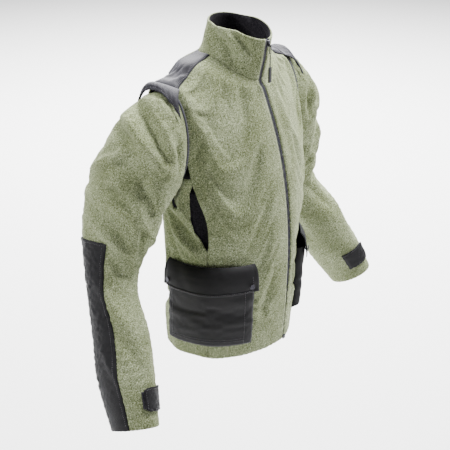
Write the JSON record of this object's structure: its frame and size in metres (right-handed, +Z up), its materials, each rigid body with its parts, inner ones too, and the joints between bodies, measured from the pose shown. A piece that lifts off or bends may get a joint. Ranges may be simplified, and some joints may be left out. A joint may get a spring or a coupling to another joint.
{
  "type": "beekeeping jacket",
  "caption": "Zip-front heathered fleece jacket with stand collar, reinforced shoulders and forearms, cargo pockets with snap flaps, slanted hand pockets and zip-off sleeves.",
  "frame": {"origin": "underside of the hanger loop inside the back of the neck, where a hook bears", "axes": "+Z up, front of the jacket towards -Y, wearer's left towards +X"},
  "size_m": [1.0354, 0.322, 0.8256],
  "materials": {
    "fleece": "heathered olive wool fleece",
    "cordura": "plain woven nylon",
    "lining": "black fleece",
    "hook_tape": "hook tape",
    "zip_tape": "woven tape",
    "zip_coil": "nylon coil",
    "gunmetal": "gunmetal",
    "moulded_grip": "moulded rubber"
  },
  "bodies": {
    "root": {"front_panel_right": "fleece", "front_panel_left": "fleece", "side_panel_right": "fleece", "side_panel_left": "fleece", "back_panel": "fleece", "collar_shell": "fleece", "sleeve_head_right": "fleece", "sleeve_head_left": "fleece", "shoulder_yoke_right": "cordura", "shoulder_yoke_left": "cordura", "shoulder_flap_right": "cordura", "shoulder_flap_left": "cordura", "cargo_pocket_right": "cordura", "cargo_pocket_left": "cordura", "hanger_loop": "cordura", "collar_lining": "lining", "hand_pocket_bag_right": "lining", "hand_pocket_bag_left": "lining", "zip_tape_right": "zip_tape", "zip_tape_left": "zip_tape", "armhole_zip_right": "zip_tape", "armhole_zip_left": "zip_tape", "zip_coil_right": "zip_coil", "zip_coil_left": "zip_coil", "zip_retainer_box": "gunmetal", "snap_stud_right_front": "gunmetal", "snap_stud_right_rear": "gunmetal", "snap_stud_left_front": "gunmetal", "snap_stud_left_rear": "gunmetal"},
    "zip_slider": {"zip_slider": "gunmetal"},
    "zip_pull": {"zip_pull_link": "gunmetal", "zip_pull_grip": "moulded_grip"},
    "flap_right": {"pocket_flap_right": "cordura", "snap_cap_right_front": "gunmetal", "snap_cap_right_rear": "gunmetal"},
    "arm_right": {"upper_sleeve_right": "fleece"},
    "forearm_right": {"lower_sleeve_right": "fleece", "forearm_patch_right": "cordura", "cuff_hook_patch_right": "hook_tape"},
    "cuff_tab_right": {"cuff_tab_right": "cordura"},
    "flap_left": {"pocket_flap_left": "cordura", "snap_cap_left_front": "gunmetal", "snap_cap_left_rear": "gunmetal"},
    "arm_left": {"upper_sleeve_left": "fleece"},
    "forearm_left": {"lower_sleeve_left": "fleece", "forearm_patch_left": "cordura", "cuff_hook_patch_left": "hook_tape"},
    "cuff_tab_left": {"cuff_tab_left": "cordura"}
  },
  "joints": [
    {"name": "zip_slide", "type": "slide", "parent": "root", "child": "zip_slider", "axis": [0, 0.1833, -0.9831], "range_m": [0, 0.03]},
    {"name": "zip_pull_swing", "type": "hinge", "parent": "zip_slider", "child": "zip_pull", "pos_m": [0, -0.14884, -0.00064], "axis": [-1, 0, 0], "range_deg": [-4, 150]},
    {"name": "shoulder_right_swing", "type": "hinge", "parent": "root", "child": "arm_right", "pos_m": [-0.222, -0.0295, -0.18], "axis": [-1, 0, 0], "range_deg": [-20, 60]},
    {"name": "elbow_right_bend", "type": "hinge", "parent": "arm_right", "child": "forearm_right", "pos_m": [-0.357, 0.0165, -0.424], "axis": [-0.935, 0, 0.3546], "range_deg": [0, 38]},
    {"name": "cuff_tab_right_peel", "type": "hinge", "parent": "forearm_right", "child": "cuff_tab_right", "pos_m": [-0.41219, -0.14675, -0.68761], "axis": [0.3713, 0.3878, 0.8436], "range_deg": [0, 100]},
    {"name": "flap_right_lift", "type": "hinge", "parent": "root", "child": "flap_right", "pos_m": [-0.19474, -0.11839, -0.47], "axis": [-0.4125, 0.911, 0], "range_deg": [0, 110]},
    {"name": "shoulder_left_swing", "type": "hinge", "parent": "root", "child": "arm_left", "pos_m": [0.222, -0.0295, -0.18], "axis": [-1, 0, 0], "range_deg": [-20, 60]},
    {"name": "elbow_left_bend", "type": "hinge", "parent": "arm_left", "child": "forearm_left", "pos_m": [0.357, 0.0165, -0.424], "axis": [-0.935, 0, -0.3546], "range_deg": [0, 38]},
    {"name": "cuff_tab_left_peel", "type": "hinge", "parent": "forearm_left", "child": "cuff_tab_left", "pos_m": [0.41219, -0.14675, -0.68761], "axis": [0.3713, -0.3878, -0.8436], "range_deg": [0, 100]},
    {"name": "flap_left_lift", "type": "hinge", "parent": "root", "child": "flap_left", "pos_m": [0.18067, -0.1028, -0.47], "axis": [-0.4858, -0.8741, 0], "range_deg": [0, 110]}
  ]
}
